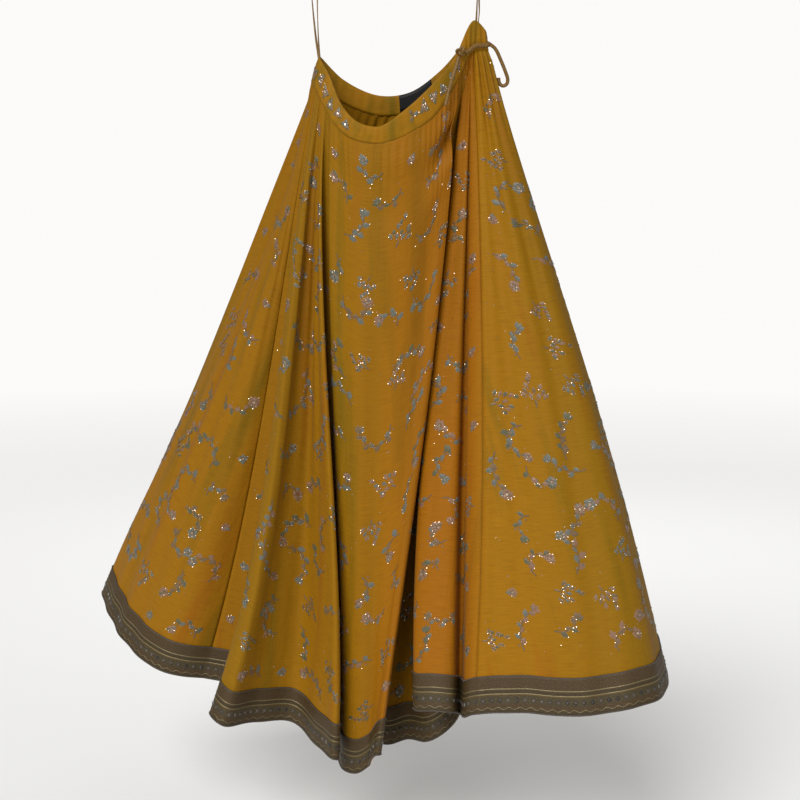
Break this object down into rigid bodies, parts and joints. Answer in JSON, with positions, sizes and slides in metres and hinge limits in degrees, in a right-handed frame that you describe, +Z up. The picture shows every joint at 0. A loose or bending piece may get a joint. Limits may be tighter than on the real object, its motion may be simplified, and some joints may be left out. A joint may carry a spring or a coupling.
{
  "type": "lehenga skirt",
  "caption": "Long flared lehenga skirt of mustard raw silk with all-over floral embroidery, a metallic hem border, a drawstring waist and two hanger loops.",
  "frame": {"origin": "Midway between the tops of the two hanger loops, at their height, where the skirt hangs.", "axes": "+Z up along the hang of the skirt, -Y out of its front, +X to the right seen from the front. Metres."},
  "size_m": [0.9299, 0.5743, 1.224],
  "materials": {
    "silk": "slubbed raw silk with fine thread embroidery and small sequins",
    "zari_border": "woven metallic ribbon, soft sheen",
    "label_cloth": "plain black satin tape",
    "tie_cloth": "plain silk tube and satin ribbon"
  },
  "bodies": {
    "root": {"gore_left_front": "silk", "gore_centre_front": "silk", "gore_right_front": "silk", "gore_right_side": "silk", "gore_right_back": "silk", "gore_centre_back": "silk", "gore_left_back": "silk", "gore_left_side": "silk", "hem_border": "zari_border", "waistband_front": "silk", "waistband_back": "silk", "label": "label_cloth", "hanger_loop_left": "tie_cloth", "hanger_loop_right": "tie_cloth", "drawstring_wrap": "tie_cloth", "drawstring_knot": "tie_cloth", "drawstring_hook_end": "tie_cloth", "drawstring_tail_end": "tie_cloth"}
  },
  "joints": []
}
